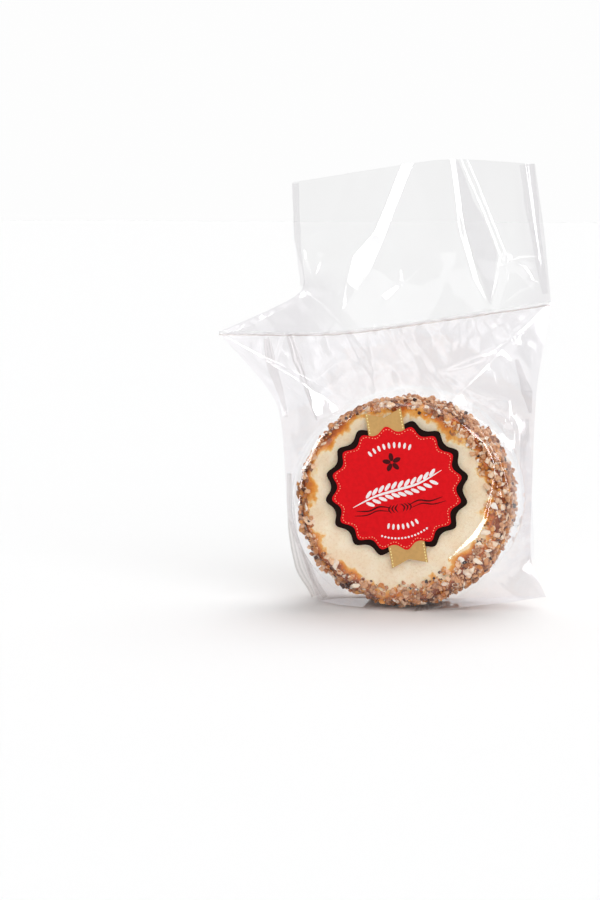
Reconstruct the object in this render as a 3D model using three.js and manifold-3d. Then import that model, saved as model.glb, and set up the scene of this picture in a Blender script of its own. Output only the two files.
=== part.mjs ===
// An alfajor in its clear film bag: a round sandwich biscuit standing on edge in a flat tube of
// film, heat-sealed across above it, with the end of the tube left as a header above the seal and
// a scalloped paper label on the front. The bag is closed, so it is one solid round its contents.
// Millimetres, +Z up, label towards -Y, origin on the surface it stands on.
import * as THREE from "three";
import { mergeVertices } from "three/addons/utils/BufferGeometryUtils.js";
import Module from "manifold-3d";

// The biscuit, coating included, and how far it leans back in the bag.
const biscuitDiameter = 75;
const biscuitThickness = 33;
const leanDegrees = 4;

// The bag. Rails run from left to right, and its side folds upwards, as [x, z] from the front.
const bottomRail = [[-32, 0], [49.5, 0]];
const sealRail = [[-70, 96], [-23, 97], [50, 108]];
const mouthRail = [[-43.5, 150], [10, 158], [43.5, 156.5]];
const leftWaist = [[-43.5, 30], [-48, 70]]; // where the pouch draws in beside the biscuit
const rightWaist = [[44.5, 45], [45.5, 77]];
const leftShoulder = [[-40, 110], [-43, 130]]; // where the header is tucked in above the seal's left end
const rightShoulder = [[47, 133]];
const tautRadius = 33; // the film lies flat on this much of the biscuit's face
const tuckUnder = 10; // film that folds flat below the biscuit
const sealHalfThickness = 0.8;
const headerBulge = 3; // half the header's thickness at its mouth

// The label.
const labelRadius = 24.4; // across it, to the middle of its scallops
const labelSquash = 0.94; // its height over its width
const scallops = 16;
const scallopDepth = 1.1;
const ribbonWidth = 13;
const ribbonReach = 27.5; // from the label's centre to the tips of its two tails
const ribbonNotch = 2.3;
const labelThickness = 0.4;
const labelGap = 0.3;
const labelCentre = [-1.3, 43.6]; // x, and height above the base
const labelTurnDegrees = 11;

// How finely the bag is divided.
const around = 64;
const footRings = 5;
const pouchRings = 26;
const headerRings = 8;

const lean = Math.tan(THREE.MathUtils.degToRad(leanDegrees));
const centreHeight = biscuitDiameter / 2;

// A smooth line through a rail's points, at t from 0 at its start to 1 at its end.
function railCurve(points) {
  const places = points.map(([x, z]) => new THREE.Vector3(x, 0, z));
  return new THREE.CatmullRomCurve3(places, false, "catmullrom", 0.35);
}

const bottom = railCurve(bottomRail);
const seal = railCurve(sealRail);
const mouth = railCurve(mouthRail);
const pouch = {
  lower: bottom,
  upper: seal,
  left: railCurve([bottomRail[0], ...leftWaist, sealRail[0]]),
  right: railCurve([bottomRail.at(-1), ...rightWaist, sealRail.at(-1)]),
};
const header = {
  lower: seal,
  upper: mouth,
  left: railCurve([sealRail[0], ...leftShoulder, mouthRail[0]]),
  right: railCurve([sealRail.at(-1), ...rightShoulder, mouthRail.at(-1)]),
};

// A point of a panel between four curves: t across it and s up it, both from 0 to 1.
function panelPoint({ lower, upper, left, right }, t, s) {
  const point = lower.getPoint(t).lerp(upper.getPoint(t), s);
  const leftShift = left.getPoint(s).sub(lower.getPoint(0).lerp(upper.getPoint(0), s));
  const rightShift = right.getPoint(s).sub(lower.getPoint(1).lerp(upper.getPoint(1), s));
  return point.addScaledVector(leftShift, 1 - t).addScaledVector(rightShift, t);
}

// A point of the bag laid flat, s running up the pouch (0 to 1) and then the header (1 to 2).
function outlinePoint(t, s) {
  return s > 1 ? panelPoint(header, t, s - 1) : panelPoint(pouch, t, s);
}

// Half the pouch's thickness: the biscuit's where the film lies flat on it, falling in straight
// slopes to the side folds, the heat seal and the foot.
function pouchHalfThickness(t, s) {
  const point = outlinePoint(t, s);
  const offDisc = Math.max(0, Math.hypot(point.x, point.z - centreHeight) - tautRadius);
  const width = outlinePoint(1, s).x - outlinePoint(0, s).x;
  const toFold = Math.min(t, 1 - t) * width;
  const toSeal = seal.getPoint(t).z - point.z;
  const inward = Math.max(0, Math.min(toFold, toSeal, point.z + tuckUnder));
  return (biscuitThickness / 2) * (inward / (inward + offDisc + 1e-6));
}

// A point of the bag's skin. turn goes once round the tube, from the right fold over the front.
function skinPoint(turn, s) {
  const front = turn < 0.5;
  const across = front ? 1 - turn * 2 : turn * 2 - 1;
  const t = 0.5 - 0.5 * Math.cos(Math.PI * across);
  const edge = Math.sin(Math.PI * across); // 0 on the two folds
  const half = s > 1 ? headerBulge * edge * (s - 1) : pouchHalfThickness(t, s);
  const y = half + sealHalfThickness * edge;
  const point = outlinePoint(t, s);
  point.y = (front ? -y : y) + point.z * lean;
  return point;
}

// The bag is a turned spindle whose points are carried onto the skin: in its profile x is the
// share of the way out from the bag's middle line, and y is s.
function spindleProfile() {
  const profile = [];
  for (let i = 0; i <= footRings; i++) profile.push(new THREE.Vector2(i / footRings, 0));
  for (let i = 1; i <= pouchRings; i++) profile.push(new THREE.Vector2(1, i / pouchRings));
  for (let i = 1; i <= headerRings; i++) profile.push(new THREE.Vector2(1, 1 + i / headerRings));
  profile.push(new THREE.Vector2(0, 2));
  return profile;
}

function bagGeometry() {
  const geometry = new THREE.LatheGeometry(spindleProfile(), around);
  const position = geometry.attributes.position;
  for (let i = 0; i < position.count; i++) {
    const x = position.getX(i);
    const z = position.getZ(i);
    const s = position.getY(i);
    const turn = (Math.atan2(z, x) / (2 * Math.PI) + 1 + 1e-9) % 1;
    const middle = outlinePoint(0.5, s);
    middle.y = middle.z * lean;
    const point = middle.lerp(skinPoint(turn, s), Math.min(1, Math.hypot(x, z)));
    position.setXYZ(i, point.x, point.y, point.z);
  }
  return geometry;
}

// The scalloped disc of the label, a little wider than tall.
function scallopedShape() {
  const steps = scallops * 8;
  const outline = [];
  for (let i = 0; i < steps; i++) {
    const angle = (i / steps) * 2 * Math.PI;
    const radius = labelRadius + scallopDepth * Math.cos(scallops * angle);
    const x = radius * Math.cos(angle);
    const y = radius * Math.sin(angle) * labelSquash;
    outline.push(new THREE.Vector2(x, y));
  }
  return new THREE.Shape(outline);
}

// The ribbon whose notched tails show above and below the disc.
function ribbonShape() {
  const half = ribbonWidth / 2;
  return new THREE.Shape([
    new THREE.Vector2(-half, -ribbonReach),
    new THREE.Vector2(0, -ribbonReach + ribbonNotch),
    new THREE.Vector2(half, -ribbonReach),
    new THREE.Vector2(half, ribbonReach),
    new THREE.Vector2(0, ribbonReach - ribbonNotch),
    new THREE.Vector2(-half, ribbonReach),
  ]);
}

const wasm = await Module();
wasm.setup();

function toSolid(geometry) {
  const bare = geometry.clone();
  bare.deleteAttribute("normal");
  bare.deleteAttribute("uv");
  const merged = mergeVertices(bare, 1e-4);
  return new wasm.Manifold(new wasm.Mesh({
    numProp: 3,
    vertProperties: merged.attributes.position.array,
    triVerts: new Uint32Array(merged.index.array),
  }));
}

function toGeometry(solid) {
  const mesh = solid.getMesh();
  const geometry = new THREE.BufferGeometry();
  geometry.setAttribute("position", new THREE.BufferAttribute(mesh.vertProperties, 3));
  geometry.setIndex(new THREE.BufferAttribute(mesh.triVerts, 1));
  geometry.computeVertexNormals();
  return geometry;
}

function labelGeometry() {
  const flat = { depth: labelThickness, bevelEnabled: false };
  const disc = toSolid(new THREE.ExtrudeGeometry(scallopedShape(), flat));
  const ribbon = toSolid(new THREE.ExtrudeGeometry(ribbonShape(), flat));
  return toGeometry(disc.add(ribbon));
}

function makeBag() {
  const film = new THREE.MeshStandardMaterial({
    color: 0xeceae8, roughness: 0.1, metalness: 0, transparent: true, opacity: 0.35,
  });
  const bag = new THREE.Mesh(bagGeometry(), film);
  bag.name = "bag";
  return bag;
}

// The label lies on the taut film in front of the biscuit, and leans back with it.
function makeLabel() {
  const paper = new THREE.MeshStandardMaterial({ color: 0xd81e28, roughness: 0.5, metalness: 0 });
  const label = new THREE.Mesh(labelGeometry(), paper);
  label.name = "label";
  label.rotation.z = THREE.MathUtils.degToRad(labelTurnDegrees);
  const [x, height] = labelCentre;
  const tilted = new THREE.Group();
  tilted.rotation.x = Math.PI / 2 - Math.atan(lean);
  tilted.position.set(x, height * lean - biscuitThickness / 2 - sealHalfThickness - labelGap, height);
  tilted.add(label);
  return tilted;
}

const part = new THREE.Group();
part.add(makeBag(), makeLabel());

export default part;
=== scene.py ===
# An alfajor in its clear film bag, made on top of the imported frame.
import random
from math import atan, atan2, cos, degrees, exp, hypot, pi, radians, sin, tan

import bmesh
import bpy
import numpy as np
from mathutils import Matrix, Vector, noise


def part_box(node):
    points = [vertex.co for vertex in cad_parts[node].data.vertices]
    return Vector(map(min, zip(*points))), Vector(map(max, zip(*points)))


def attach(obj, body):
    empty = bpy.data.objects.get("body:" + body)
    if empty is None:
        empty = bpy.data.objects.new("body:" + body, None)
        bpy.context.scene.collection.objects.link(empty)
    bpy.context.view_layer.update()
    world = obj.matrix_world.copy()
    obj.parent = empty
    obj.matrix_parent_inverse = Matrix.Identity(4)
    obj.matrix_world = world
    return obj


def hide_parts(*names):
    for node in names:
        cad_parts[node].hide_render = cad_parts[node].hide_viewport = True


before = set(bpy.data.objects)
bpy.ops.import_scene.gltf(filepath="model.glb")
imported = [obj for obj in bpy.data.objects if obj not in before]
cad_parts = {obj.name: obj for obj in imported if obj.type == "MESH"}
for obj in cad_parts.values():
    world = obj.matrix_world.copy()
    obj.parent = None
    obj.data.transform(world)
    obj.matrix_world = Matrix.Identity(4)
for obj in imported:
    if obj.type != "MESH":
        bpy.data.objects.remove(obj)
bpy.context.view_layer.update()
mm = 0.001

# How the biscuit stands in the bag, taken from the frame: the label lies flat on its face.
labelLow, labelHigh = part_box("label")
leanAngle = radians(4)  # the biscuit and the bag lean back this much
lean = tan(leanAngle)


def sRgb(code):
    parts = [int(code[i:i + 2], 16) / 255 for i in (0, 2, 4)]
    return (*[p / 12.92 if p <= 0.04045 else ((p + 0.055) / 1.055) ** 2.4 for p in parts], 1.0)


def addNode(tree, kind, inputs=None, **settings):
    node = tree.nodes.new("ShaderNode" + kind)
    for name, value in settings.items():
        setattr(node, name, value)
    for name, value in (inputs or {}).items():
        if isinstance(value, bpy.types.NodeSocket):
            tree.links.new(value, node.inputs[name])
        else:
            node.inputs[name].default_value = value
    return node


def calculate(tree, operation, *values, clamp=False):
    inputs = dict(enumerate(values))
    return addNode(tree, "Math", inputs, operation=operation, use_clamp=clamp).outputs[0]


def vectorMath(tree, operation, *values):
    return addNode(tree, "VectorMath", dict(enumerate(values)), operation=operation)


def mapRange(tree, value, given, wanted=(0, 1)):
    return addNode(tree, "MapRange", {
        "Value": value, "From Min": given[0], "From Max": given[1],
        "To Min": wanted[0], "To Max": wanted[1]}).outputs[0]


def ownPlace(tree):
    return addNode(tree, "TexCoord").outputs["Object"]


def mottling(tree, size, detail, roughness=0.5):
    # Noise through a piece, whose spots are about this size.
    inputs = {"Vector": ownPlace(tree), "Scale": 1 / size, "Detail": detail, "Roughness": roughness}
    return addNode(tree, "TexNoise", inputs).outputs["Fac"]


def bumps(tree, height, strength, distance):
    inputs = {"Height": height, "Strength": strength, "Distance": distance}
    return addNode(tree, "Bump", inputs).outputs[0]


def multiplied(tree, share, base, tint):
    inputs = {0: share, 6: base, 7: tint}
    return addNode(tree, "Mix", inputs, data_type="RGBA", blend_type="MULTIPLY").outputs[2]


def newMaterial(name):
    material = bpy.data.materials.new(name)
    material.use_nodes = True
    tree = material.node_tree
    tree.nodes.clear()
    return material, tree


def finishMaterial(material, surface):
    addNode(material.node_tree, "OutputMaterial", {"Surface": surface.outputs[0]})
    return material


def plainMaterial(material, inputs):
    # One surface and nothing mixed with it.
    return finishMaterial(material, addNode(material.node_tree, "BsdfPrincipled", inputs))


def colourRamp(tree, factor, stops):
    ramp = addNode(tree, "ValToRGB", {"Fac": factor})
    elements = ramp.color_ramp.elements
    elements[0].position, elements[0].color = stops[0][0], sRgb(stops[0][1])
    elements[1].position, elements[1].color = stops[-1][0], sRgb(stops[-1][1])
    for place, code in stops[1:-1]:
        elements.new(place).color = sRgb(code)
    return ramp.outputs["Color"]


def toMesh(bm, name):
    mesh = bpy.data.meshes.new(name)
    bm.to_mesh(mesh)
    bm.free()
    return mesh


def addObject(name, data):
    made = bpy.data.objects.new(name, data)
    bpy.context.scene.collection.objects.link(made)
    return made


def finishPiece(bm, name, material, smooth=True):
    mesh = toMesh(bm, name)
    mesh.materials.append(material)
    mesh.polygons.foreach_set("use_smooth", [smooth] * len(mesh.polygons))
    piece = addObject(name, mesh)
    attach(piece, "root")
    return piece


def smoothStep(value):
    value = np.clip(value, 0, 1)
    return value * value * (3 - 2 * value)


camera = {
    "azimuth": 11.0,
    "pitch": 6.5,
    "distance": 890 * mm,
    "lens": 100,
    "target": (-38 * mm, 55.5 * mm),  # along its own right, and up
}


def makeCamera():
    data = bpy.data.cameras.new("camera")
    data.lens, data.sensor_width = camera["lens"], 36
    data.clip_start, data.clip_end = 0.01, 50
    holder = addObject("camera", data)
    turn, drop = radians(camera["azimuth"]), radians(camera["pitch"])
    back = Vector((sin(turn) * cos(drop), -cos(turn) * cos(drop), sin(drop)))
    side = Vector((cos(turn), sin(turn), 0))
    right, up = camera["target"]
    target = side * right + Vector((0, 0, up))
    holder.location = target + back * camera["distance"]
    holder.rotation_mode = "QUATERNION"
    holder.rotation_quaternion = (-back).to_track_quat("-Z", "Y")
    bpy.context.scene.camera = holder


filmLook = {
    "waveSize": 24 * mm,
    "leastMirrored": 0.06,  # face on, where it is taut
    "creasedMirrored": 0.03,  # and this much more for each step of creasing
    "grazingMirrored": 0.75,  # both faces of the film together
    "grazingPower": 3.5,
    "roughness": (0.05, 0.11),  # taut and creased
    # painted shade: the grey seen through crumpled and folded film
    "tint": [(0.0, "ffffff"), (0.25, "fcfbfc"), (1.0, "e6e2e0")],
    "paintedShadeStep": 0.25,
}


def filmMaterial():
    # Biaxially stretched polypropylene film, 30 microns thick: clear and crisp, so it shows
    # mostly by what it mirrors, which grows where it turns edge-on. The "creased" attribute is 0
    # where it is taut, 1 where it is crumpled and more where folds lie on one another. It also
    # greys what shows through the film, more with each step: painted shade in creases and folds.
    look = filmLook
    material, tree = newMaterial("clear polypropylene film")
    creased = addNode(tree, "Attribute", attribute_name="creased").outputs["Fac"]
    bump = bumps(tree, mottling(tree, look["waveSize"], 1.0), 0.15, 0.5 * mm)
    facing = addNode(tree, "LayerWeight", {"Blend": 0.5, "Normal": bump}).outputs["Facing"]
    grazing = calculate(tree, "POWER", facing, look["grazingPower"])
    least = calculate(tree, "MULTIPLY_ADD", creased, look["creasedMirrored"], look["leastMirrored"])
    share = calculate(tree, "MULTIPLY_ADD", grazing, look["grazingMirrored"], least, clamp=True)
    mirror = addNode(tree, "BsdfPrincipled", {
        "Base Color": sRgb("f4f4f6"), "Metallic": 1.0, "Normal": bump,
        "Roughness": mapRange(tree, creased, (0, 1), look["roughness"])})
    # Creased and folded film greys what shows through it: painted shade.
    tint = colourRamp(tree, calculate(tree, "MULTIPLY", creased, look["paintedShadeStep"]), look["tint"])
    clear = addNode(tree, "BsdfTransparent", {"Color": tint})
    mixed = addNode(tree, "MixShader", {0: share, 1: clear.outputs[0], 2: mirror.outputs[0]})
    return finishMaterial(material, mixed)


def sealMaterial(name, code, alpha):
    # Film melted together under a ribbed bar: milky, with a faint straw tint. Made faint, it also paints the
    # seal's shadow below it.
    material, tree = newMaterial(name)
    return plainMaterial(material, {
        "Base Color": sRgb(code), "Roughness": 0.25, "Alpha": alpha,
        "Normal": bumps(tree, mottling(tree, 1.2 * mm, 3.0), 0.5, 0.3 * mm)})


glaze = {  # how browned caramel shades a face, from its bare middle out
    "begins": 31.9 * mm,
    "darkest": 37.2 * mm,
    "blotSize": 7 * mm,
    "wander": 16 * mm,
    "stops": [(0.0, "fdebcf"), (0.1, "fbe0b0"), (0.22, "f3b763"), (0.42, "ea9428"), (0.72, "d0680e"),
              (1.0, "93420c")],
}


def biscuitMaterial():
    # Cornflour biscuit: pale, dry and finely pored, glazed with browned caramel towards its rim.
    material, tree = newMaterial("cornflour biscuit")
    baldX, baldZ = biscuit["baldCentre"]
    centre = (baldX, 0, biscuit["height"] + baldZ)
    fromCentre = vectorMath(tree, "SUBTRACT", ownPlace(tree), centre).outputs[0]
    onFace = vectorMath(tree, "MULTIPLY", fromCentre, (1, 0, 1)).outputs[0]
    radius = vectorMath(tree, "LENGTH", onFace).outputs["Value"]
    blots = mottling(tree, glaze["blotSize"], 5.0, 0.55)
    wander = calculate(tree, "MULTIPLY_ADD", blots, glaze["wander"], -glaze["wander"] / 2)
    runs = addNode(tree, "Attribute", attribute_name="glazed").outputs["Fac"]
    reach = calculate(tree, "ADD", radius, calculate(tree, "MULTIPLY_ADD", runs, mm, wander))
    browned = mapRange(tree, reach, (glaze["begins"], glaze["darkest"]))
    clouds, grain = mottling(tree, 7 * mm, 3.0), mottling(tree, 0.9 * mm, 5.0)
    colour = colourRamp(tree, browned, glaze["stops"])
    colour = multiplied(tree, 0.45, colour, colourRamp(tree, clouds, [(0.35, "f3e3cc"), (0.6, "ffffff")]))
    colour = multiplied(tree, 0.35, colour, colourRamp(tree, grain, [(0.32, "ecd8bd"), (0.5, "ffffff")]))
    pits = calculate(tree, "MULTIPLY_ADD", clouds, 2.0, grain)
    return plainMaterial(material, {
        "Base Color": colour, "Roughness": mapRange(tree, browned, (0.3, 0.8), (0.75, 0.35)),
        "Normal": bumps(tree, pits, 0.5, 0.3 * mm),
        "Specular IOR Level": 0.3, "Subsurface Weight": 0.15, "Subsurface Scale": 2 * mm})


def fillingMaterial():
    # Milk caramel: thick, brown and glossy.
    material, tree = newMaterial("milk caramel")
    stops = [(0.3, "8a4a22"), (0.5, "b06a34"), (0.7, "c98a50")]
    return plainMaterial(material, {
        "Base Color": colourRamp(tree, mottling(tree, 5 * mm, 3.0), stops),
        "Roughness": 0.3, "Coat Weight": 0.3, "Coat Roughness": 0.2})


def crumbMaterial(name, stops, roughness):
    # Chopped, dry and matt. Each crumb has its own shade, and a little mottling of its own.
    material, tree = newMaterial(name)
    own = addNode(tree, "Attribute", attribute_name="shade").outputs["Fac"]
    mottle = mottling(tree, 0.8 * mm, 2.0)
    shade = calculate(tree, "MULTIPLY_ADD", mottle, 0.5, own)
    level = calculate(tree, "SUBTRACT", shade, 0.25, clamp=True)
    return plainMaterial(material, {
        "Base Color": colourRamp(tree, level, stops), "Roughness": roughness,
        "Specular IOR Level": 0.18, "Normal": bumps(tree, mottle, 0.4, 0.2 * mm)})


def printMaterial(name, code, roughness=0.5):
    # Label paper, printed and left matt, so that its inks stay deep.
    material, tree = newMaterial(name)
    fibres = mottling(tree, 1.2 * mm, 3.0)
    ink = colourRamp(tree, fibres, [(0.3, "e8e8e8"), (0.6, "ffffff")])
    return plainMaterial(material, {
        "Base Color": multiplied(tree, 0.5, sRgb(code), ink), "Roughness": roughness,
        "Specular IOR Level": 0.04, "Normal": bumps(tree, fibres, 0.08, 0.1 * mm)})


# The biscuit: two discs and the caramel between them, in its own frame with its axis along Y.
biscuit = {
    "radius": 35.4 * mm,  # without its coating
    "widening": 1.03,  # its width over its height
    "thickness": 31.0 * mm,
    "height": 37.2 * mm,  # of its middle, above the surface
    "discThickness": 12 * mm,
    "edgeRounding": 4.5 * mm,
    "dome": 0.6 * mm,
    "around": 160,
    "baldCentre": (-1.4 * mm, 1.7 * mm),  # the crumbs leave a bare round on the face, off its middle
    "baldRadius": 31.2 * mm,
}


# Where the caramel glaze has run in over a face: at which angle, how wide and how far.
glazeRuns = [(-8, 10, 1.2), (20, 8, 2.0), (62, 13, 3.6), (92, 6, 3.0), (131, 13, 4.0), (176, 12, 2.8),
             (204, 8, 2.2), (231, 15, 4.8), (268, 7, 2.0), (292, 7, 2.4), (316, 13, 4.4)]


def glazeReach(angle):
    # In millimetres, for an angle in degrees.
    total = 0
    for at, spread, reach in glazeRuns:
        off = (angle - at + 180) % 360 - 180
        total += reach * exp(-(off / spread) ** 2)
    return total


def stand(bm):
    # From the biscuit's own frame to its place in the bag.
    place = Matrix.Translation((0, biscuit["height"] * lean, biscuit["height"]))
    wide = Matrix.Diagonal((biscuit["widening"], 1, 1, 1))
    bmesh.ops.transform(bm, matrix=place @ Matrix.Rotation(-leanAngle, 4, "X") @ wide, verts=bm.verts)


def spinProfile(points, steps):
    # points are (radius, y) from the axis out and back to it.
    bm = bmesh.new()
    verts = [bm.verts.new((radius, y, 0)) for radius, y in points]
    edges = [bm.edges.new(pair) for pair in zip(verts, verts[1:])]
    bmesh.ops.spin(bm, geom=verts + edges, cent=(0, 0, 0), axis=(0, 1, 0), dvec=(0, 0, 0),
                   angle=2 * pi, steps=steps, use_merge=True)
    bmesh.ops.remove_doubles(bm, verts=bm.verts, dist=0.005 * mm)
    bmesh.ops.recalc_face_normals(bm, faces=bm.faces)
    return bm


def discProfile(outer, inner):
    # A biscuit's section: its outer face is at y = outer, its inner one at y = inner.
    sign = 1 if outer > inner else -1
    rounding, radius = biscuit["edgeRounding"], biscuit["radius"]
    points = []
    for i in range(15):
        share = i / 14
        rise = biscuit["dome"] * (1 - share * share)
        points.append((share * (radius - rounding), outer + sign * rise))
    for i in range(1, 9):
        angle = i / 8 * pi / 2
        points.append((radius - rounding + rounding * sin(angle),
                       outer - sign * rounding * (1 - cos(angle))))
    points.append((radius, inner + sign * 1.0 * mm))
    points.append((radius - 1.0 * mm, inner))
    points.append((0, inner))
    return points


def roughen(bm, amount, size, seed):
    # Each seed takes its own stretch of the noise.
    offset = Vector((seed * 7.3, seed * 3.1, seed * 5.7))
    for vert in bm.verts:
        push = noise.noise(vert.co / size + offset)
        vert.co += vert.normal * push * amount


def makeBiscuit(material, fillingStuff):
    half, disc = biscuit["thickness"] / 2, biscuit["discThickness"]
    for name, side, seed in (("frontBiscuit", -1, 1), ("backBiscuit", 1, 2)):
        bm = spinProfile(discProfile(side * half, side * (half - disc)), biscuit["around"])
        roughen(bm, 0.45 * mm, 9 * mm, seed)
        glazed = bm.verts.layers.float.new("glazed")
        for vert in bm.verts:
            vert[glazed] = glazeReach(degrees(atan2(vert.co.z, -side * vert.co.x)))
        stand(bm)
        finishPiece(bm, name, material)
    gap = half - disc
    radius, bulge = biscuit["radius"] - 1 * mm, 0.8 * mm
    points = [(0, -gap), (radius, -gap)]
    for i in range(7):
        angle = (i / 6 - 0.5) * pi
        points.append((radius + bulge * cos(angle), gap * 0.95 * sin(angle)))
    points += [(radius, gap), (0, gap)]
    bm = spinProfile(points, biscuit["around"])
    roughen(bm, 0.3 * mm, 6 * mm, 3)
    stand(bm)
    finishPiece(bm, "caramelFilling", fillingStuff)


# The coating of chopped nuts and coconut, on the rim and a little way on to both faces.
coating = {
    # climbs gathers pale coconut on top and caramel and fine crumbs below, so the rim is lighter on top and
    # darker below: partly painted shade.
    "coconut": {"count": 1000, "size": 3.1, "climbs": 0.45, "shape": (1.0, 0.6, 0.34), "points": 16,
                "rough": 0.6,
                "stops": [(0.0, "ebc8a4"), (0.35, "fdeedb"), (0.65, "e6bb92"), (1.0, "fff9f0")]},
    "nut": {"count": 2400, "size": 2.2, "climbs": 0.1, "shape": (1.0, 0.8, 0.66), "points": 16,
            "rough": 0.55,
            "stops": [(0.0, "864b27"), (0.3, "e6ad80"), (0.5, "b36f3f"), (0.75, "f7cda6"), (1.0, "d4935f")]},
    "darkNut": {"count": 400, "size": 1.9, "climbs": 0.2, "shape": (1.0, 0.8, 0.7), "points": 12,
                "rough": 0.5, "stops": [(0.0, "2f1d17"), (0.5, "4f2f20"), (1.0, "6f442c")]},
    "caramelNut": {"count": 1150, "size": 1.9, "climbs": -0.6, "shape": (1.0, 0.85, 0.7), "points": 12,
                   "rough": 0.3, "stops": [(0.0, "98501a"), (0.5, "cd7b2e"), (1.0, "ecab5c")]},
    "fine": {"count": 4000, "size": 0.95, "climbs": -0.25, "shape": (1.0, 0.85, 0.75), "points": 9,
             "rough": 0.6, "stops": [(0.0, "753b19"), (0.35, "c27a42"), (0.7, "e8b07d"), (1.0, "fdead4")]},
}
crumbLimits = {  # the film holds them in
    "rim": 37.9 * mm,
    "loose": 1.3 * mm,  # more room for them at the top of the rim
    "face": 16.75 * mm,
    "floor": 0.35 * mm,
}
crumbSpread = {
    "sizes": (0.55, 0.7, 0.85, 1.0, 1.2, 1.5),  # over their kind's size
    "tipping": 0.4,
    "lift": (-0.1, 0.8),  # over their thickness, from the surface they stick to
    "ring": 7 * mm,  # how far in over a face they can lie
    "edgeWander": 2.2 * mm,
    "edgeSoftness": 1.4 * mm,
    "tongue": 1.6 * mm,  # the front's edge comes in further here
    "tongueAngle": 48,
    "tongueWidth": 16,
}


def crumbTemplates(kind, rng):
    # A few chipped lumps, each the hull of points scattered in a flattened ball.
    made = []
    for _ in range(8):
        bm = bmesh.new()
        for _ in range(kind["points"]):
            spot = Vector((rng.uniform(-1, 1), rng.uniform(-1, 1), rng.uniform(-1, 1)))
            spot = spot.normalized() * rng.uniform(0.8, 1.0) * 0.5
            bm.verts.new([part * share for part, share in zip(spot, kind["shape"])])
        bmesh.ops.convex_hull(bm, input=bm.verts)
        loose = [vert for vert in bm.verts if not vert.link_faces]
        bmesh.ops.delete(bm, geom=loose, context="VERTS")
        made.append(toMesh(bm, "crumbTemplate"))
    return made


def coatingPlace(rng, climbs):
    # A point of the biscuit's rim or the outer ring of a face, and the way out from it. Where
    # climbs is above 0 there are more at the top, and below 0 more at the bottom, partly as painted shade.
    radius, rounding = biscuit["radius"], biscuit["edgeRounding"]
    half = biscuit["thickness"] / 2
    wall = 2 * (half - rounding)
    corner = rounding * pi / 2
    most = wall / 2 + corner + crumbSpread["ring"]
    while True:
        angle = rng.uniform(0, 2 * pi)
        if rng.random() > (1 + climbs * sin(angle)) / (1 + abs(climbs)):
            continue
        over = rng.uniform(-most, most)
        side = 1 if over > 0 else -1
        past = abs(over) - wall / 2
        direction = Vector((cos(angle), 0, sin(angle)))
        if past <= 0:
            r, y, out = radius, over, (1, 0)
        else:
            turn = min(past / rounding, pi / 2)
            flat = max(0, past - corner)
            r = radius - rounding + rounding * sin(pi / 2 - turn) - flat
            y = side * (half - rounding + rounding * sin(turn))
            out = (cos(turn), side * sin(turn))
            baldX, baldZ = biscuit["baldCentre"]
            fromBald = hypot(direction.x * r - baldX, direction.z * r - baldZ) - biscuit["baldRadius"]
            spot = direction * 3.0 + Vector((0, side * 7.0, 0))
            wander = crumbSpread["edgeWander"] * (noise.noise(spot) + 0.6 * noise.noise(spot * 3.1))
            if side < 0:
                off = (degrees(angle) - crumbSpread["tongueAngle"]) / crumbSpread["tongueWidth"]
                wander += crumbSpread["tongue"] * exp(-off ** 2)
            if rng.random() > 0.5 + (fromBald + wander) / crumbSpread["edgeSoftness"]:
                continue
        return direction * r + Vector((0, y, 0)), (direction * out[0] + Vector((0, out[1], 0))).normalized()


def makeCoating():
    rng = random.Random(11)
    limits = crumbLimits
    for name, kind in coating.items():
        templates = crumbTemplates(kind, rng)
        bm = bmesh.new()
        shades = bm.verts.layers.float.new("shade")
        blocks = []
        for _ in range(kind["count"]):
            spot, normal = coatingPlace(rng, kind["climbs"])
            start = len(bm.verts)
            bm.from_mesh(rng.choice(templates))
            size = kind["size"] * mm * rng.choice(crumbSpread["sizes"])
            scatter = Vector((rng.gauss(0, 1), rng.gauss(0, 1), rng.gauss(0, 1)))
            tip = scatter * crumbSpread["tipping"] + normal
            turn = tip.to_track_quat("Z", "Y").to_matrix().to_4x4()
            turn = turn @ Matrix.Rotation(rng.uniform(0, 6.28), 4, "Z")
            lift = normal * size * kind["shape"][2] * rng.uniform(*crumbSpread["lift"])
            move = Matrix.Translation(spot + lift) @ turn @ Matrix.Diagonal((size, size, size, 1))
            blocks.append((start, len(bm.verts), move, rng.random()))
        bm.verts.ensure_lookup_table()
        for start, end, move, shade in blocks:
            for i in range(start, end):
                vert = bm.verts[i]
                vert[shades] = shade
                at = move @ vert.co
                away = max(hypot(at.x, at.z), 1e-6)
                pressed = min(1.0, (limits["rim"] + limits["loose"] * max(0, at.z / away)) / away)
                within = max(-limits["face"], min(limits["face"], at.y))
                vert.co = Vector((at.x * pressed, within, at.z * pressed))
        stand(bm)
        for vert in bm.verts:
            vert.co.z = max(vert.co.z, limits["floor"])
        bmesh.ops.recalc_face_normals(bm, faces=bm.faces)
        material = crumbMaterial(name + " crumb", kind["stops"], kind["rough"])
        finishPiece(bm, name + "Crumbs", material, smooth=False)
        for mesh in templates:
            bpy.data.meshes.remove(mesh)


# The label, in its own frame: x right, y up, z out of the paper.
label = {
    "centre": (labelLow + labelHigh) / 2,
    "turn": radians(11),
    "scallops": 16,
    "squash": 0.94,  # its height over its width
    "outerRadius": 24.4 * mm,
    "sealRadius": 22.1 * mm,
    "scallopDepth": 1.1 * mm,
    "ribbonWidth": 13 * mm,
    "ribbonReach": 27.5 * mm,
    "ribbonNotch": 2.3 * mm,
    "layer": 0.12 * mm,
}


def onLabel(bm):
    # From the label's own frame to its place on the bag.
    upright = Matrix.Rotation(pi / 2 - leanAngle, 4, "X") @ Matrix.Rotation(label["turn"], 4, "Z")
    bmesh.ops.transform(bm, matrix=Matrix.Translation(label["centre"]) @ upright, verts=bm.verts)


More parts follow.
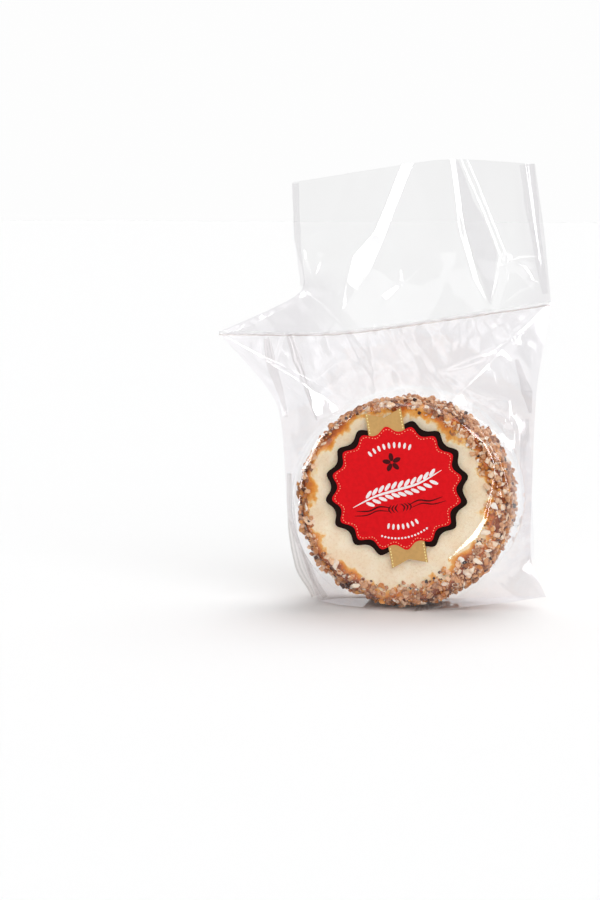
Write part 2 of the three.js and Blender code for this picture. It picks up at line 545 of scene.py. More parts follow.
def thicken(bm, faces, height):
    grown = bmesh.ops.extrude_face_region(bm, geom=faces)
    risen = [g for g in grown["geom"] if isinstance(g, bmesh.types.BMVert)]
    bmesh.ops.translate(bm, vec=(0, 0, height), verts=risen)


def plate(outline, low, high):
    # A flat plate with this outline, from z = low to z = high.
    bm = bmesh.new()
    face = bm.faces.new([bm.verts.new((x, y, low)) for x, y in outline])
    thicken(bm, [face], high - low)
    return bm


def finishPrint(bm, name, material):
    bmesh.ops.recalc_face_normals(bm, faces=bm.faces)
    onLabel(bm)
    return finishPiece(bm, name, material, smooth=False)


def scallopOutline(radius, depth, steps=12):
    outline, count = [], label["scallops"]
    for i in range(count * steps):
        angle = i / (count * steps) * 2 * pi
        wave = cos(count * angle)
        r = radius + depth * (wave + 0.12 * cos(2 * count * angle))
        outline.append((r * cos(angle), r * sin(angle) * label["squash"]))
    return outline


def makeLabel():
    step = label["layer"]
    black = printMaterial("black printed paper", "1e0f0c")
    gold = printMaterial("gold printed paper", "cda266", 0.4)
    red = printMaterial("red printed paper", "e0151d")
    bm = plate(scallopOutline(label["outerRadius"], label["scallopDepth"]), 0, step)
    base = finishPrint(bm, "labelScallop", black)
    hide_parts("label")
    half, reach, notch = label["ribbonWidth"] / 2, label["ribbonReach"], label["ribbonNotch"]
    ribbon = [(-half, -reach), (0, -reach + notch), (half, -reach), (half, reach),
              (0, reach - notch), (-half, reach)]
    finishPrint(plate(ribbon, step, 2 * step), "labelRibbon", gold)
    bm = plate(scallopOutline(label["sealRadius"], label["scallopDepth"]), 2 * step, 3 * step)
    finishPrint(bm, "labelSeal", red)
    makeStitches(printMaterial("orange printed stitch", "f2a481"),
                 printMaterial("pale gold stitch", "f8eaa6"))
    makeMarks(printMaterial("white printed mark", "f6eeee"),
              printMaterial("dark printed mark", "4a1518"))


def dash(bm, x, y, turn, length, width, low, high):
    # A short round-ended stroke of print.
    verts = bmesh.ops.create_circle(bm, cap_ends=True, segments=10, radius=1)["verts"]
    shape = Matrix.Diagonal((length / 2, width / 2, 1, 1))
    move = Matrix.Translation((x, y, low)) @ Matrix.Rotation(turn, 4, "Z") @ shape
    bmesh.ops.transform(bm, matrix=move, verts=verts)
    thicken(bm, list({f for v in verts for f in v.link_faces}), high - low)


stitches = {
    "perScallop": 9,
    "sealInset": 0.95 * mm,
    "sealSize": (0.46 * mm, 0.32 * mm),
    "ribbonInset": 0.55 * mm,
    "ribbonStart": 1.5 * mm,  # inside the seal's edge
    "ribbonEnd": 0.3 * mm,  # before the ribbon's end
    "ribbonStep": 1.05 * mm,
    "ribbonSize": (0.65 * mm, 0.42 * mm),
}


def makeStitches(orange, pale):
    step = label["layer"]
    bm = bmesh.new()
    scallops, depth = label["scallops"], label["scallopDepth"]
    count = scallops * stitches["perScallop"]
    for i in range(count):
        angle = i / count * 2 * pi
        r = label["sealRadius"] - stitches["sealInset"] + depth * cos(scallops * angle)
        slope = -depth * scallops * sin(scallops * angle) / r
        dash(bm, r * cos(angle), r * sin(angle) * label["squash"],
             angle + pi / 2 - atan(slope), *stitches["sealSize"], 3 * step, 3.4 * step)
    finishPrint(bm, "labelStitch", orange)
    bm = bmesh.new()
    edge = label["ribbonWidth"] / 2 - stitches["ribbonInset"]
    for side in (-1, 1):
        y = label["sealRadius"] - stitches["ribbonStart"]
        while y < label["ribbonReach"] - stitches["ribbonEnd"]:
            for end in (-1, 1):
                dash(bm, side * edge, end * y, pi / 2, *stitches["ribbonSize"], 2 * step, 2.4 * step)
            y += stitches["ribbonStep"]
    finishPrint(bm, "ribbonStitch", pale)


def stroke(bm, points, width, low, high):
    # A printed line that swells from fine ends to full width in the middle.
    curve = []
    steps, last = 24, len(points) - 1
    for i in range(steps + 1):
        t = i / steps * last
        k = min(int(t), last - 1)
        f = t - k
        p0, p1, p2, p3 = (Vector(points[min(max(j, 0), last)]) for j in range(k - 1, k + 3))
        curve.append(0.5 * ((2 * p1) + (p2 - p0) * f + (2 * p0 - 5 * p1 + 4 * p2 - p3) * f**2
                            + (3 * p1 - p0 - 3 * p2 + p3) * f**3))
    left, right = [], []
    for i, at in enumerate(curve):
        ahead = curve[min(i + 1, steps)] - curve[max(i - 1, 0)]
        across = Vector((-ahead.y, ahead.x)).normalized()
        half = width / 2 * (0.12 + 0.88 * sin(pi * i / steps) ** 0.8)
        left.append(at + across * half)
        right.append(at - across * half)
    left, right = [[bm.verts.new((p.x * mm, p.y * mm, low)) for p in row] for row in (left, right)]
    faces = [bm.faces.new((left[i], left[i + 1], right[i + 1], right[i])) for i in range(steps)]
    thicken(bm, faces, high - low)


# Plain ornament, in millimetres and degrees on the label.
ornament = {
    "stem": [(-16.5, -4.2), (-8, -1.6), (0, -0.6), (8, 0.4), (16.8, 3.6)],
    "grains": {"pairs": 11, "start": -11.0, "step": 2.35, "ahead": 0.9, "off": 1.75, "turn": 8, "splay": 38},
    # Each row of beads: how many, its first angle, its step, its radius, and a bead's two sizes.
    "beads": [(9, 118, -7.0, 15.2, 2.2, 0.95), (7, -112, 7.3, 13.6, 2.1, 0.9),
              (15, -117, 3.9, 17.6, 0.75, 0.75)],
    "flower": {"petals": 5, "radius": 1.9, "height": 9.2, "length": 3.0, "width": 1.7},
    # The scroll's right half: its lines, each with its width.
    "scroll": [([(3, -6.6), (7, -5.4), (11, -6.3), (15.5, -5.6)], 0.55),
               ([(4, -7.6), (8, -6.7), (12, -7.6), (16.5, -7.2)], 0.4)],
    "curl": [(0.5, -5.6), (1.6, -6.9), (0.9, -8.4)],
    "curls": 3,
    "curlStep": 1.2,
}


def makeMarks(white, dark):
    # A wheat ear across the middle, rows of beads on arcs, a small open flower and a fine scroll.
    low, high = 3 * label["layer"], 3.5 * label["layer"]
    bm = bmesh.new()
    stroke(bm, ornament["stem"], 0.9, low, high)
    grains = ornament["grains"]
    for i in range(grains["pairs"]):
        x = grains["start"] + grains["step"] * i
        y = -0.6 + 0.014 * x * abs(x)
        for side in (-1, 1):
            dash(bm, (x + grains["ahead"]) * mm, (y + side * grains["off"]) * mm,
                 radians(grains["turn"] + side * grains["splay"]), 3.3 * mm, 1.25 * mm, low, high)
    for count, start, step, radius, length, width in ornament["beads"]:
        for i in range(count):
            angle = radians(start + step * i)
            dash(bm, radius * mm * cos(angle), radius * mm * sin(angle), angle,
                 length * mm, width * mm, low, high)
    finishPrint(bm, "labelWhiteMarks", white)

    bm = bmesh.new()
    flower = ornament["flower"]
    for i in range(flower["petals"]):
        angle = radians(90 + 360 / flower["petals"] * i)
        dash(bm, flower["radius"] * mm * cos(angle),
             (flower["height"] + flower["radius"] * sin(angle)) * mm, angle,
             flower["length"] * mm, flower["width"] * mm, low, high)
    for side in (-1, 1):
        for line, width in ornament["scroll"]:
            stroke(bm, [(side * x, y) for x, y in line], width, low, high)
        for k in range(ornament["curls"]):
            shift = ornament["curlStep"] * k
            stroke(bm, [(side * (x + shift), y) for x, y in ornament["curl"]], 0.5, low, high)
    finishPrint(bm, "labelDarkMarks", dark)


# The bag. Rails run from left to right and side folds upwards, as (x, z) in millimetres.
bag = {
    "bottom": [(-32, 0), (10, 0), (50, 4)],
    "seal": [(-70, 96), (-22.7, 97), (50, 108)],
    "mouth": [(-43.5, 150), (10, 158), (43.5, 156.5)],
    "pouchLeft": [(-32, 0), (-38, 15), (-43.5, 30), (-48, 70), (-70, 96)],
    "pouchRight": [(50, 4), (44.5, 18), (44.5, 45), (45.5, 77), (50, 108)],
    "headerLeft": [(-70, 96), (-40, 111), (-42.5, 130), (-43.5, 150)],
    "headerRight": [(50, 108), (48.5, 121), (47, 134), (43.5, 156.5)],
    "bend": 0.35,
    "taut": 32.8,  # the film lies flat on this much of the face
    "halfThickness": 16.9,
    "drapeFlat": 33.5,  # from the biscuit's middle: the film lies flat up to here
    "drapeRim": 38.1,  # and is round the corner here
    "drapeDrop": 4.0,
    "drapeFall": 3.4,
    "tuck": 10,
    "headerBulge": 1.6,
    "leastHalf": 0.35,  # the sheets stand this far apart in the middle, even where nothing fills them
    "tuckShare": 0.06,  # of the pouch's height, for the part folded under the biscuit
    "lift": 0.15,
    "slackFrom": 6,  # from the taut face
    "crumples": [(1.3, 15, 3), (0.55, 6, 8), (0.14, 3.2, 21)],  # height, size and seed of the facets
    "headerCrumple": (0.7, 24, 13),
    "cornerCrumple": (1.5, 9, 17),  # only in the header's lower left corner
    "columns": 290,
    "rows": 335,
}

# Each crease: its points as (x, z), how wide its steep flank is at each, which side that flank
# lies on (1 is the left hand of someone going along it), and how far its gentle flank reaches.
# The steep flanks are what catch the light.
creaseSlope, steepSlope, faceSlope = 0.29, 0.4, 0.34
headerCreases = [
    ([(2.3, 160), (-5.6, 140.5), (-9.2, 130.5), (-13.5, 119.8), (-19.2, 112), (-24.2, 104.7)],
     [4.2, 3.8, 4.4, 8.5, 4.5, 0.4], -1, 26),
    ([(13.5, 160), (17.2, 133.5), (22.4, 115.9), (27.8, 106.7)], [1.7, 1.8, 1.5, 0.3], 1, 9),
    ([(16.6, 160), (26, 138.4), (32.2, 123)], [2.1, 2.1, 2.3], 1, 8),
    ([(33.3, 123), (28.9, 106.7)], [1.7, 0.8], -1, 3),
    ([(-38, 123.5), (-35.2, 115.4)], [1.5, 0.3], -1, 3),
    ([(-40.4, 128.5), (-34.9, 131.1), (-29.5, 133.6)], [0.6, 0.4, 0.2], 1, 4),
    ([(-40, 111.7), (-32.6, 106.1), (-24.9, 99)], [1.2, 1.0, 0.6], 1, 6),
    ([(33.7, 121.6), (39.3, 123.4), (45.7, 123.8)], [0.4, 0.8, 0.6], 1, 4),
    ([(40.1, 120.2), (42.6, 117.4)], [0.8, 0.5], 1, 3),
    ([(44.4, 115.3), (48, 111.8)], [0.7, 0.4], 1, 3),
    ([(40, 158), (43, 139), (46.5, 118)], [0.7, 0.6, 0.3], 1, 3),
]
steepCreases = [  # small ones that stand against the fall of their neighbours
    ([(-2.4, 114), (-8, 108.5), (-11.5, 101.3)], [1.1, 2.3, 0.9], -1, 9),
    ([(-2.9, 114), (-2, 102)], [0.9, 0.7], 1, 6),
]
pouchCreases = [
    ([(-23.3, 96), (-17.3, 87.4), (-12.2, 81.4), (-7, 83), (-2, 85)], [1.6, 2.8, 1.6, 1.0, 0.4], 1, 7),
    ([(-32, 81), (-26, 86), (-19.6, 88.7)], [0.5, 1.0, 0.5], 1, 5),
    ([(-2.2, 94), (6, 84), (14, 75)], [0.8, 1.0, 0.6], 1, 6),
    ([(1.5, 95), (9, 86), (16, 78.5)], [0.5, 0.7, 0.4], -1, 4),
    ([(14.6, 82), (25.4, 73.7), (34.6, 68)], [0.8, 2.2, 1.5], 1, 7),
    ([(9.6, 98.8), (16, 93.4)], [0.6, 1.7], 1, 3),
    ([(36.9, 96), (30.2, 102)], [1.2, 0.6], -1, 4),
    ([(36.9, 96), (46.3, 105.5)], [1.3, 0.7], 1, 5),
    ([(36.9, 96), (32.8, 92.6), (21.1, 88), (12.3, 83.9)], [0.8, 1.5, 2.6, 0.4], 1, 6),
    ([(36.9, 96), (41.2, 87.3), (45.3, 78)], [1.5, 2.0, 0.8], 1, 6),
    ([(36.9, 96), (46.5, 93.5)], [0.8, 0.5], 1, 4),
    ([(36.6, 67.8), (35.2, 82.5)], [1.0, 0.6], -1, 4),
    ([(36.6, 67.8), (43.4, 74.5)], [1.2, 0.7], 1, 4),
    ([(26, 74.4), (35.4, 73.8)], [0.7, 0.6], 1, 3),
    ([(37.8, 66), (40, 52), (41, 18)], [0.9, 1.3, 0.6], 1, 3),
    ([(36.6, 67.8), (42, 58), (43, 30)], [0.8, 0.7, 0.4], 1, 2),
    ([(45.2, 17.5), (48, 10.2), (49.8, 5.9)], [0.3, 0.6, 0.3], -1, 2),
    ([(-52.4, 92), (-52.9, 82.3), (-52, 76)], [0.8, 1.2, 0.5], 1, 4),
    ([(-45.6, 94.5), (-48, 84.6), (-47.5, 72)], [0.8, 1.6, 0.6], -1, 4),
    ([(-42, 94), (-38.2, 82.8), (-34.8, 72.4), (-31.8, 66.9)], [0.7, 1.6, 1.2, 0.4], -1, 5),
    ([(-32.5, 92.6), (-30.4, 89.9)], [1.1, 0.5], -1, 3),
    ([(-47, 64), (-43, 48), (-41, 32)], [0.7, 1.0, 0.6], 1, 3),
    ([(-42, 32), (-36.5, 15), (-31, 1)], [0.9, 1.2, 0.6], -1, 3),
    ([(-39, 28), (-33, 16), (-28.9, 4)], [0.8, 1.2, 0.6], 1, 3),
]


faceCreases = [  # where the film is drawn over the biscuit's edge
    ([(26.5, 64.5), (29.7, 60.7), (31.5, 57.2), (33, 53.1), (33.2, 46)], [0.3, 0.8, 0.9, 0.9, 0.4], 1, 2),
    ([(33.2, 48), (32.6, 41.7), (31, 32.6), (27.6, 26.2), (18.5, 19.3)], [0.6, 1.2, 2.0, 3.0, 1.0], -1, 2),
    ([(-19.5, 68.5), (-15, 70.2), (-10.9, 71)], [0.3, 0.9, 0.4], 1, 2),
]


def sealPuckers():
    # Small creases that the heat seal pulls into the film below it.
    rng = random.Random(5)
    made = []
    for _ in range(14):
        x = rng.uniform(-22, 49)
        z = np.interp(x, *zip(*bag["seal"])) - 0.6
        slant, length = rng.uniform(-0.9, 0.9), rng.uniform(4, 12)
        end = (x + slant * length, z - length)
        made.append(([(x, z), end], [rng.uniform(0.4, 0.9), 0.1], rng.choice((-1, 1)), rng.uniform(1.5, 3)))
    return made


def along(points, t):
    # A smooth line through the points, at each t from 0 to 1.
    places = np.array(points, float)
    ends = np.vstack([2 * places[0] - places[1], places, 2 * places[-1] - places[-2]])
    span = np.clip(t, 0, 1) * (len(points) - 1)
    i = np.minimum(span.astype(int), len(points) - 2)
    f = (span - i)[:, None]
    before, start, end, after = ends[i], ends[i + 1], ends[i + 2], ends[i + 3]
    leave, arrive = bag["bend"] * (end - before), bag["bend"] * (after - start)
    return ((2 * f**3 - 3 * f**2 + 1) * start + (f**3 - 2 * f**2 + f) * leave
            + (3 * f**2 - 2 * f**3) * end + (f**3 - f**2) * arrive)


def panel(lower, upper, left, right, u, v):
    # A point between four rails: u across and v up, both from 0 to 1.
    zero, one = np.zeros_like(u), np.ones_like(u)
    rise = v[:, None]
    point = along(lower, u) * (1 - rise) + along(upper, u) * rise
    leftPlain = along(lower, zero) * (1 - rise) + along(upper, zero) * rise
    rightPlain = along(lower, one) * (1 - rise) + along(upper, one) * rise
    return (point + (along(left, v) - leftPlain) * (1 - u)[:, None]
            + (along(right, v) - rightPlain) * u[:, None])


def creaseRelief(x, z, creases, slope=creaseSlope):
    total = np.zeros(len(x))
    for line, widths, lit, reach in creases:
        points = np.array(line, float)
        best, side, share = np.full_like(x, 1e9), np.zeros_like(x), np.zeros_like(x)
        for i, (a, b) in enumerate(zip(points, points[1:])):
            run = b - a
            t = np.clip(((x - a[0]) * run[0] + (z - a[1]) * run[1]) / (run @ run), 0, 1)
            dx, dz = x - a[0] - t * run[0], z - a[1] - t * run[1]
            distance = np.hypot(dx, dz)
            nearer = distance < best
            best = np.where(nearer, distance, best)
            side = np.where(nearer, np.sign(run[0] * dz - run[1] * dx), side)
            share = np.where(nearer, i + t, share)
        width = np.interp(share, range(len(widths)), widths)
        flank = np.where(side == lit, width, reach)
        crest = np.sqrt(best**2 + 0.15**2) - 0.15
        total += slope * width * np.maximum(0, 1 - crest / flank)
    return total


def unevenness(x, z, size, seed):
    return np.array([noise.noise((px / size, pz / size, seed)) for px, pz in zip(x, z)])


def facets(x, z, size, seed):
    # Random heights joined by flat triangles, as stiff film crumples, from -0.5 to 0.5.
    heights = np.random.RandomState(seed).rand(64, 64)
    bend = unevenness(x, z, 21, seed) * 7
    across, up = (x + bend + 200) / size, (z - bend * 0.8 + 200) / (size * 1.5)
    across = across + 0.5 * up
    i, j = np.floor(across).astype(int), np.floor(up).astype(int)
    f, g = across - i, up - j
    low, right = heights[i % 64, j % 64], heights[(i + 1) % 64, j % 64]
    top, far = heights[i % 64, (j + 1) % 64], heights[(i + 1) % 64, (j + 1) % 64]
    near = low + f * (right - low) + g * (top - low)
    beyond = far + (1 - f) * (top - far) + (1 - g) * (right - far)
    return np.where(f + g < 1, near, beyond) - 0.5


def coatingDepth(x, z):
    # How far the coated biscuit reaches at most to either side of its middle plane.
    up = z - biscuit["height"] / mm
    away = np.maximum(np.hypot(x / biscuit["widening"], up), 1e-6)
    rim = bag["drapeRim"] + np.maximum(0, up / away) * crumbLimits["loose"] / mm
    past = np.clip((away - bag["drapeFlat"]) / (rim - bag["drapeFlat"]), 0, 1)
    rounded = bag["halfThickness"] - bag["drapeDrop"] * (1 - np.sqrt(1 - past**2))
    return rounded * np.clip(1 - (away - rim) / bag["drapeFall"], 0, 1)


def pouchHalf(x, z, toSide, toSeal, uneven):
    middle = biscuit["height"] / mm
    off = np.maximum(0, np.hypot(x, z - middle) - bag["taut"] + uneven)
    inward = np.maximum(0, np.minimum(np.minimum(toSide, toSeal), z + bag["tuck"]))
    slope = bag["halfThickness"] * inward / (inward + off + 1e-6)
    # How tightly the film turns at the biscuit's edge: tighter on the left, where it is drawn back.
    bend = (3.4 + 2.4 * uneven) * np.clip((x + 8) / 26, 0.05, 1)
    hug = np.where(off < bend, bag["halfThickness"] - bend + np.sqrt(np.maximum(0, bend**2 - off**2)), 0)
    draped = coatingDepth(x, z) * np.clip(inward / 1.2, 0, 1)
    return np.maximum(np.maximum(slope, np.where(inward > 2, hug, 0)), draped)


def sheetPiece(name, mesh, material, creased):
    own = mesh.attributes.new("creased", "FLOAT", "POINT")
    own.data.foreach_set("value", np.broadcast_to(creased, len(mesh.vertices)).astype(np.float32))
    bm = bmesh.new()
    bm.from_mesh(mesh)
    bmesh.ops.dissolve_degenerate(bm, edges=bm.edges, dist=0.0001 * mm)  # where rows meet in a corner
    bm.to_mesh(mesh)
    bm.free()
    mesh.materials.append(material)
    mesh.polygons.foreach_set("use_smooth", [True] * len(mesh.polygons))
    piece = addObject(name, mesh)
    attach(piece, "root")
    return piece


def gridMesh(name, columns, rows, outwards=True):
    # A flat grid to be laid on the bag, with each vertex's place across and up it from 0 to 1.
    bm = bmesh.new()
    bmesh.ops.create_grid(bm, x_segments=columns, y_segments=rows, size=0.5)
    if not outwards:
        bmesh.ops.reverse_faces(bm, faces=bm.faces)
    mesh = toMesh(bm, name)
    flat = np.empty(len(mesh.vertices) * 3)
    mesh.vertices.foreach_get("co", flat)
    flat = flat.reshape(-1, 3)
    return mesh, flat[:, 0] + 0.5, flat[:, 1] + 0.5


def makeFilm(name, side, material):
    # side is -1 for the front sheet and 1 for the back one.
    mesh, u, rise = gridMesh(name, bag["columns"], bag["rows"], outwards=side < 0)
    tucked = bag["tuckShare"]
    v = rise * (2 + tucked) - tucked
    under = np.clip(-v / tucked, 0, 1)
    low, high = np.clip(v, 0, 1), np.clip(v - 1, 0, 1)
    pouch = panel(bag["bottom"], bag["seal"], bag["pouchLeft"], bag["pouchRight"], u, low)
    header = panel(bag["seal"], bag["mouth"], bag["headerLeft"], bag["headerRight"], u, high)
    isHeader = v > 1
    spot = np.where(isHeader[:, None], header, pouch)
    x, z = spot[:, 0], spot[:, 1]
    leftX, rightX = along(bag["pouchLeft"], low)[:, 0], along(bag["pouchRight"], low)[:, 0]
    toSide = np.minimum(x - leftX, rightX - x)
    toSeal = along(bag["seal"], u)[:, 1] - z
    uneven = unevenness(x, z, 9, side * 4)
    half = pouchHalf(x, z, toSide, toSeal, uneven) * (1 - under)
    middling = np.sin(pi * u)
    half = np.where(isHeader, bag["headerBulge"] * middling * high, half) + bag["leastHalf"] * middling
    if side < 0:
        inHeader = creaseRelief(x, z, headerCreases) + creaseRelief(x, z, steepCreases, steepSlope)
        relief = np.where(isHeader, inHeader, creaseRelief(x, z, pouchCreases + sealPuckers()))
        half += np.where(isHeader, 0, creaseRelief(x, z, faceCreases, faceSlope))
    else:  # the back sheet's creases run the other way, and more gently
        inHeader, inPouch = creaseRelief(-x, z, headerCreases), creaseRelief(-x, z, pouchCreases)
        relief = 0.4 * np.where(isHeader, inHeader, inPouch)
    fromFace = np.hypot(x, z - biscuit["height"] / mm) - bag["taut"]
    edge = smoothStep(np.minimum(u, 1 - u) / 0.09)
    slack = smoothStep(fromFace / bag["slackFrom"]) * edge
    crumple = sum(tall * facets(x, z, size, seed + side) for tall, size, seed in bag["crumples"])
    cornerShare = np.clip((-20 - x) / 20, 0, 1) * np.clip((122 - z) / 12, 0, 1)
    tall, size, seed = bag["headerCrumple"]
    smooth = tall * facets(x, z, size, seed + side)
    tall, size, seed = bag["cornerCrumple"]
    smooth = smooth + tall * cornerShare * facets(x, z, size, seed + side)
    half = half + slack * (relief + np.where(isHeader, smooth, crumple * np.clip(toSeal / 6, 0.2, 1)))
    placed = np.column_stack([x, side * half + z * lean, z + bag["lift"]]) * mm
    mesh.vertices.foreach_set("co", placed.ravel())
    # How creased the film is; this also sets the grey of its painted shade.
    edgeShare = 0.5 * np.clip((x - 36) / 8, 0, 1)
    creased = np.where(isHeader, np.maximum(cornerShare, edgeShare), smoothStep((fromFace - 3) / 8))
    return sheetPiece(name, mesh, material, creased)


# Where the film lies doubled: the two ends of a strip's middle line and points between, its
# width at each, how many pleats run along it, how steep they are and how many layers it adds.
# The layers added also deepen the strip's grey, as painted shade.
foldStrips = {
    "headerPleat": ([(15.6, 157.5), (20.5, 141), (26.2, 125), (28.6, 107.5)], [1.6, 5.0, 9.5, 0.6],
                    1, 0.05, 1.0),
    "leftHeaderFold": ([(-42.3, 149.5), (-41.2, 130), (-39, 113)], [2.4, 2.2, 1.6], 1, 0.1, 1.0),
    "rightHeaderFold": ([(40.7, 156.3), (43.6, 136), (48, 111)], [5.4, 4.4, 1.8], 2, 0.03, 0.7),
    "rightPouchFold": ([(41.5, 67), (42.6, 49), (43.4, 32), (44.4, 17)], [3.2, 3.6, 3.4, 2.2],
                       2, 0.15, 1.0),
    "rightShoulderFold": ([(38.5, 88), (42.4, 76), (43.6, 69)], [1.0, 3.4, 0.8], 1, 0.05, 1.6),
    "leftPouchFold": ([(-42.6, 46), (-41.4, 27), (-38, 13), (-32.5, 2)], [2.2, 4.4, 5.6, 4.6],
                      4, 0.17, 4.0),
    "leftInnerFold": ([(-39.2, 40), (-37.6, 24), (-34, 10), (-28.5, 2)], [0.8, 2.2, 3.2, 2.4], 3, 0.2, 4.0),
    "leftShoulderFold": ([(-52, 94), (-49.5, 85), (-46.5, 76), (-44, 66)], [2.0, 3.6, 2.8, 1.0],
                         3, 0.12, 2.4),
    "leftShoulderPleat": ([(-43.5, 95), (-40, 87), (-36, 78), (-31.5, 66)], [2.6, 3.4, 2.4, 0.6],
                          2, 0.12, 2.4),
}


def frontDepth(x, z):
    # How far the front film stands out from the bag's middle plane.
    left, right = [np.interp(z, *zip(*[(high, across) for across, high in bag[rail]]))
                   for rail in ("pouchLeft", "pouchRight")]
    seal = np.interp(x, *zip(*bag["seal"]))
    toSide, toSeal = np.maximum(0, np.minimum(x - left, right - x)), np.maximum(0, seal - z)
    return np.where(z < seal, pouchHalf(x, z, toSide, toSeal, np.zeros_like(x)), 0.3)


def makeFoldStrips(material):
    for name, (line, widths, folds, slope, layers) in foldStrips.items():
        mesh, u, v = gridMesh(name, 8 * folds + 4, 160)
        middle = along(line, v)
        ahead = along(line, np.minimum(v + 0.01, 1)) - along(line, np.maximum(v - 0.01, 0))
        ahead /= np.hypot(ahead[:, 0], ahead[:, 1])[:, None]
        wave = np.array([noise.noise((t * 5, folds, 0.3)) for t in v])
        width = np.interp(v * (len(widths) - 1), range(len(widths)), widths) * (1 + 0.25 * wave)
        offset = (u - 0.5) * width
        x, z = middle[:, 0] - ahead[:, 1] * offset, middle[:, 1] + ahead[:, 0] * offset
        pleat = np.abs(((u * folds + 0.35 * wave) % 1) * 2 - 1)
        y = z * lean - frontDepth(x, z) - 0.4 - slope * pleat * width / (folds * 2)
        mesh.vertices.foreach_set("co", (np.column_stack([x, y, z + 0.2]) * mm).ravel())
        sheetPiece(name, mesh, material, layers)


def makeSeal(material, sealShadowMaterial):
    # The heat seal: a narrow welded band right across the bag, with a thin, faint strip of painted shadow
    # below it.
    for name, drop, tall, thick, stuff in (("heatSeal", 0.0, 1.25, 0.5, material),
                                           ("paintedSealShadow", -0.8, 0.5, 0.9, sealShadowMaterial)):
        bm = bmesh.new()
        steps = 180
        line = along(bag["seal"], np.linspace(0.004, 0.996, steps))
        bmesh.ops.create_circle(bm, segments=10, radius=0.5)
        section = list(bm.verts)
        for vert in section:
            vert.co = Vector((0, vert.co.x * thick, vert.co.y * tall + drop)) * mm
        first = Vector((line[0][0], line[0][1] * lean, line[0][1])) * mm
        bmesh.ops.translate(bm, vec=first, verts=section)
        ring = list(bm.edges)
        for start, end in zip(line, line[1:]):
            grown = bmesh.ops.extrude_edge_only(bm, edges=ring)["geom"]
            ring = [g for g in grown if isinstance(g, bmesh.types.BMEdge)]
            verts = [g for g in grown if isinstance(g, bmesh.types.BMVert)]
            step = Vector((end[0] - start[0], (end[1] - start[1]) * lean, end[1] - start[1])) * mm
            bmesh.ops.translate(bm, vec=step, verts=verts)
        bmesh.ops.holes_fill(bm, edges=[e for e in bm.edges if e.is_boundary], sides=0)
        for vert in bm.verts:
            ripple = noise.noise(vert.co / (2.2 * mm))
            vert.co.z += ripple * 0.22 * mm
            vert.co.y += noise.noise(vert.co / (5 * mm) + Vector((0, 0, 9))) * 0.3 * mm
        bmesh.ops.recalc_face_normals(bm, faces=bm.faces)
        finishPiece(bm, name, stuff)


def makeFloor():
    material, tree = newMaterial("white studio board")
    surface = addNode(tree, "BsdfDiffuse", {"Color": sRgb("f8f8f8"), "Roughness": 0.0})
    bm = bmesh.new()
    bmesh.ops.create_grid(bm, x_segments=2, y_segments=2, size=6)
    mesh = toMesh(bm, "floor")
    mesh.materials.append(finishMaterial(material, surface))
    floor = addObject("floor", mesh)


studio = {
    # azimuth, elevation, distance, width, height, power: strips and panels that light nothing
    # and are only mirrored
    "strips": {"leftStrip": (-41, 18, 1.1, 0.38, 0.36, 4.7),
               "lowStrip": (-35, 4.5, 1.1, 0.12, 0.16, 0.66),
               "rightStrip": (20.5, 14.5, 1.25, 0.28, 0.55, 5.3),
               "sideStrip": (76, 24, 1.1, 0.16, 0.8, 2.4), "leftPanel": (-48, 50, 1.1, 0.5, 0.45, 0.5),
               "rightPanel": (27, 50, 1.1, 0.5, 0.45, 0.3), "topPanel": (-3, 33, 1.1, 0.6, 0.2, 0.7)},
    "overhead": {"energy": 1.9, "angle": 48, "turn": (-30, -12)},  # from above and behind
    "front": {"energy": 1.62, "angle": 60, "turn": (56, 28)},  # fill beside the camera
    "room": 0.25,  # what lights the scene
    "backdrop": 0.985,
}


def makeStrip(name, azimuth, elevation, distance, width, height, power):
    data = bpy.data.lights.new(name, "AREA")
    data.shape, data.size, data.size_y, data.energy = "RECTANGLE", width, height, power
    lamp = addObject(name, data)
    lamp.visible_diffuse = False
    a, e = radians(azimuth), radians(elevation)
    way = Vector((sin(a) * cos(e), -cos(a) * cos(e), sin(e)))
    lamp.location = Vector((0, 0, 70 * mm)) + way * distance
    lamp.rotation_mode = "QUATERNION"
    lamp.rotation_quaternion = (-way).to_track_quat("-Z", "Y")


def makeBank(name, energy, angle, turn):
    # A broad soft bank far away, which nothing mirrors.
    data = bpy.data.lights.new(name, "SUN")
    data.energy, data.angle = energy, radians(angle)
    lamp = addObject(name, data)
    lamp.visible_glossy = False
    tilt, swing = turn
    lamp.rotation_euler = (radians(tilt), 0, radians(swing))


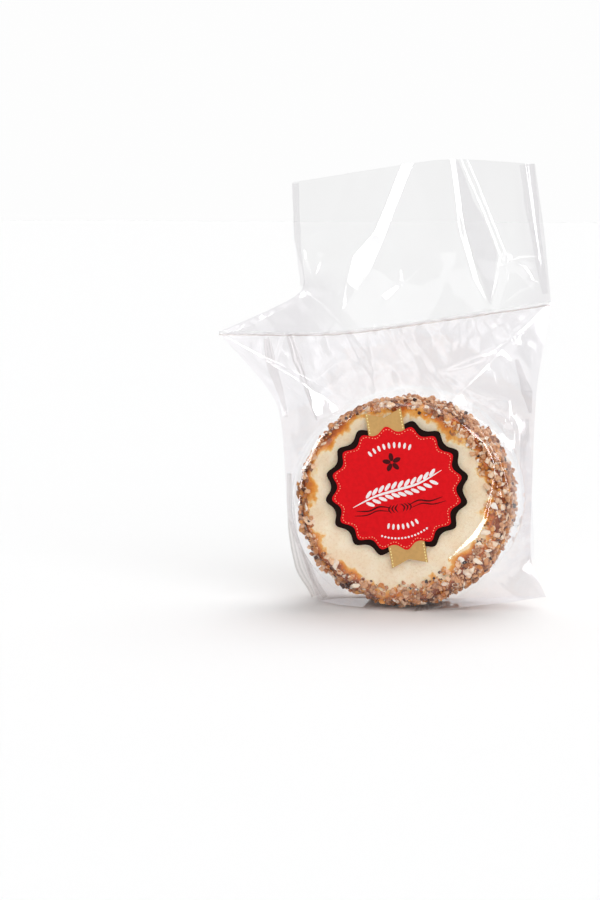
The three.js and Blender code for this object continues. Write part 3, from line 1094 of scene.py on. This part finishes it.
def makeLights():
    for name, numbers in studio["strips"].items():
        makeStrip(name, *numbers)
    makeBank("overheadBank", *studio["overhead"].values())
    makeBank("frontBank", *studio["front"].values())
    world = bpy.data.worlds.new("studio")
    bpy.context.scene.world = world
    world.use_nodes = True
    tree = world.node_tree
    tree.nodes.clear()
    path = addNode(tree, "LightPath").outputs
    # The film mirrors the dim room before it, patchy with light above, and the pale backdrop.
    way = addNode(tree, "TexCoord").outputs["Generated"]
    axes = addNode(tree, "SeparateXYZ", {0: way}).outputs
    upright = vectorMath(tree, "MULTIPLY", way, (1, 1, 0.6)).outputs[0]
    patches = addNode(tree, "TexNoise", {"Vector": upright, "Scale": 5.0, "Detail": 1.0})
    patch = mapRange(tree, patches.outputs["Fac"], (0.4, 0.6))
    reachUp = mapRange(tree, axes["Z"], (0.2, 0.5), (0.3, 1.5))
    before = calculate(tree, "MULTIPLY_ADD", patch, reachUp, 0.03)
    behind = mapRange(tree, axes["Y"], (-0.1, 0.5))
    mirrored = addNode(tree, "Mix", {0: behind, 2: before, 3: 0.95}).outputs[0]
    room, glossy, seen = [
        addNode(tree, "Background", {"Color": sRgb("ffffff"), "Strength": level}).outputs[0]
        for level in (studio["room"], mirrored, studio["backdrop"])]
    dull = addNode(tree, "MixShader", {0: path["Is Glossy Ray"], 1: room, 2: glossy})
    mixed = addNode(tree, "MixShader", {0: path["Is Camera Ray"], 1: dull.outputs[0], 2: seen})
    addNode(tree, "OutputWorld", {"Surface": mixed.outputs[0]})
    scene = bpy.context.scene
    scene.view_settings.view_transform = "Standard"
    scene.cycles.transparent_max_bounces = 32


makeCamera()
print("biscuit")
makeBiscuit(biscuitMaterial(), fillingMaterial())
print("coating")
makeCoating()
print("label")
makeLabel()
print("film")
film = filmMaterial()
front = makeFilm("filmFront", -1, film)
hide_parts("bag")
makeFilm("filmBack", 1, film)
makeFoldStrips(film)
# the second seal strip is painted shadow under the seal
makeSeal(sealMaterial("heat-sealed film", "ffffff", 0.9), sealMaterial("painted seal shadow", "f0e8e1", 0.4))
print("studio")
makeFloor()
makeLights()
